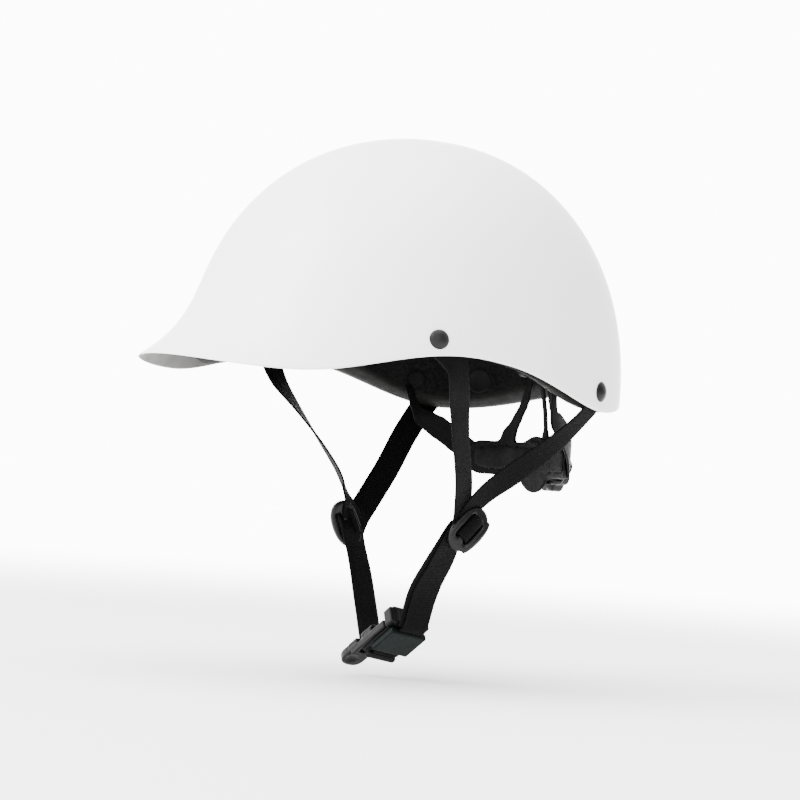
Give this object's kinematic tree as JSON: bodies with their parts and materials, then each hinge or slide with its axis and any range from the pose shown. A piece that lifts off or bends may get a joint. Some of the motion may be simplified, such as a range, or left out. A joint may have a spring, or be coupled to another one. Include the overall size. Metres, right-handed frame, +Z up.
{
  "type": "peaked sports helmet",
  "caption": "Hard-shell peaked helmet with foam liner, padded interior, dial-adjusted rear cradle, webbing straps and a side-release chin buckle.",
  "frame": {"origin": "centre of the head opening, on the level plane of the rim", "axes": "+X towards the wearer's left, -Y towards the front (the peak), +Z up through the crown"},
  "size_m": [0.2118, 0.284, 0.301],
  "materials": {
    "shell_white": "satin moulded shell",
    "liner_foam": "expanded foam, matt",
    "pad_fabric": "knitted pad cover",
    "trim_plastic": "satin",
    "rivet_plastic": "satin domed cap",
    "steel": "fine turned",
    "webbing": "ribbed woven webbing",
    "gloss_black": "semi-gloss moulded",
    "buckle_plastic": "satin moulded",
    "magnet": "plated",
    "sleeve_fabric": "smooth coated sleeve",
    "cradle_plastic": "fine matt texture",
    "dial_plastic": "satin",
    "acetal": "smooth"
  },
  "bodies": {
    "helmet": {"outer_shell": "shell_white", "foam_liner": "liner_foam", "crown_pad": "pad_fabric", "brow_pad": "pad_fabric", "rear_pad": "pad_fabric", "left_side_pad": "pad_fabric", "right_side_pad": "pad_fabric", "liner_plugs": "trim_plastic", "temple_rivets": "rivet_plastic", "rear_rivets": "rivet_plastic", "rivet_washers": "steel", "left_front_strap": "webbing", "right_front_strap": "webbing", "left_rear_strap": "webbing", "right_rear_strap": "webbing", "left_adjuster": "gloss_black", "right_adjuster": "gloss_black", "left_lower_strap": "webbing", "right_lower_strap": "webbing", "buckle_socket": "buckle_plastic", "socket_magnet": "magnet", "cradle_brackets": "trim_plastic", "tilt_pin": "steel", "band_anchors": "trim_plastic"},
    "buckle_tab": {"buckle_tab": "buckle_plastic", "tab_magnet": "magnet"},
    "sleeve": {"strap_sleeve": "sleeve_fabric"},
    "cradle": {"cradle_plate": "cradle_plastic", "cradle_pad": "pad_fabric", "dial_housing": "cradle_plastic", "housing_cover": "dial_plastic", "ratchet_spring": "acetal", "left_band": "cradle_plastic", "right_band": "cradle_plastic"},
    "dial": {"dial": "dial_plastic", "pinion": "acetal", "dial_screw": "steel"},
    "left_rack": {"left_rack": "cradle_plastic"},
    "right_rack": {"right_rack": "cradle_plastic"}
  },
  "joints": [
    {"name": "buckle_slide", "type": "slide", "parent": "helmet", "child": "buckle_tab", "axis": [0.021, -0.9848, 0.1724], "range_m": [0, 0.024], "deforming": ["right_lower_strap"]},
    {"name": "sleeve_slide", "type": "slide", "parent": "helmet", "child": "sleeve", "axis": [-0.821, -0.1154, -0.5592], "range_m": [0, 0.005]},
    {"name": "cradle_tilt", "type": "hinge", "parent": "helmet", "child": "cradle", "pos_m": [0, 0.089, 0.014], "axis": [-1, 0, 0], "range_deg": [0, 6.2], "deforming": ["left_band", "right_band"]},
    {"name": "dial_turn", "type": "hinge", "parent": "cradle", "child": "dial", "pos_m": [0, 0.098, -0.041], "axis": [0, 1, 0], "range_deg": [0, 144]},
    {"name": "left_rack_slide", "type": "slide", "parent": "cradle", "child": "left_rack", "axis": [-1, 0, 0], "range_m": [0, 0.0092]},
    {"name": "right_rack_slide", "type": "slide", "parent": "cradle", "child": "right_rack", "axis": [1, 0, 0], "range_m": [0, 0.0092]}
  ],
  "couplings": [
    {"joint": "cradle_tilt", "follows": "dial_turn", "ratio": 0.041667},
    {"joint": "left_rack_slide", "follows": "dial_turn", "m_per_rad": 0.0036},
    {"joint": "right_rack_slide", "follows": "dial_turn", "m_per_rad": 0.0036}
  ]
}
